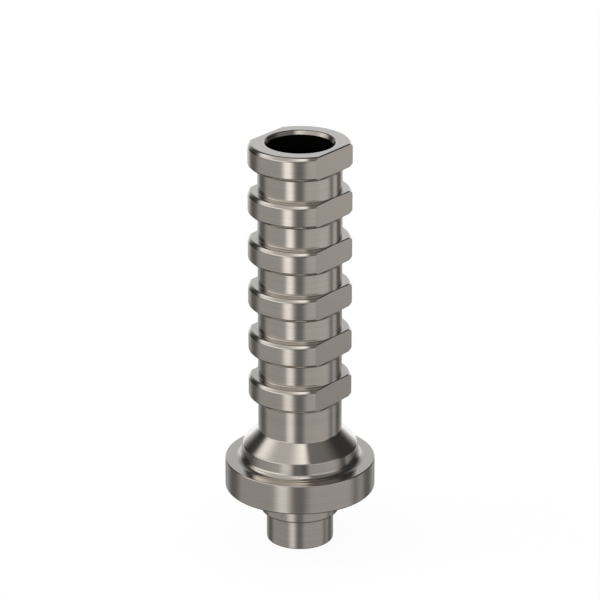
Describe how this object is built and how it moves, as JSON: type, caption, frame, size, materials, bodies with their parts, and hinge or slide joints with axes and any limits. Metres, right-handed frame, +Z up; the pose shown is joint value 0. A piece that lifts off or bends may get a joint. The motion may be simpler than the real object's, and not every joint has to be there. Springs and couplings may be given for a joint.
{
  "type": "dental abutment",
  "caption": "Turned titanium temporary cylinder for a screw-retained crown, with a seating flange, a spigot, a screw channel and retention rings cut by two flats.",
  "frame": {"origin": "centre of the spigot's end face, the lowest point of the part", "axes": "+Z up the screw channel towards its mouth; the two milled flats face +X and -X"},
  "size_m": [0.005, 0.005, 0.014],
  "materials": {
    "turned_titanium": "fine turned titanium, bare metal, with milled flats"
  },
  "bodies": {
    "root": {"abutment_body": "turned_titanium"}
  },
  "joints": []
}
